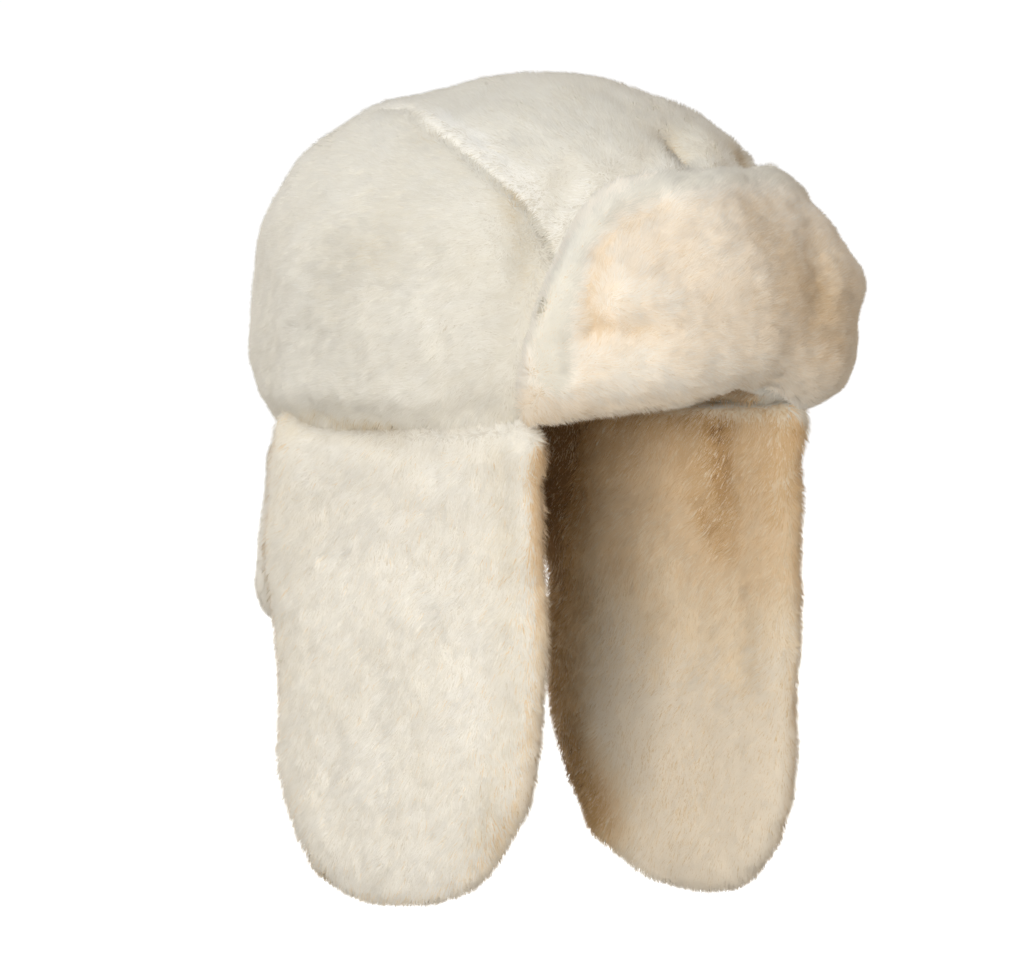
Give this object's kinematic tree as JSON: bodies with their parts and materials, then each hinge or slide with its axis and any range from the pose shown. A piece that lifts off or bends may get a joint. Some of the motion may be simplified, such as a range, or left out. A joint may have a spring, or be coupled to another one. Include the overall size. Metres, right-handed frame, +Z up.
{
  "type": "aviator hat",
  "caption": "Padded plush aviator hat with a panelled crown, a turned-up brow flap, long hanging ear flaps and a neck flap.",
  "frame": {"origin": "middle of the head opening, in the plane of the crease where the flaps hang from the crown", "axes": "+Z up along the crown, -Y the way the wearer faces, +X the wearer's left"},
  "size_m": [0.224, 0.2805, 0.3625],
  "materials": {
    "crown_plush": "sheared ivory plush, matt",
    "brow_plush": "sheared warm cream plush, matt",
    "flap_plush": "sheared ivory plush, matt"
  },
  "bodies": {
    "root": {"crown_centre": "crown_plush", "crown_side_right": "crown_plush", "crown_side_left": "crown_plush", "brow_flap": "brow_plush", "ear_flap_right": "flap_plush", "ear_flap_left": "flap_plush", "neck_flap": "flap_plush"}
  },
  "joints": []
}
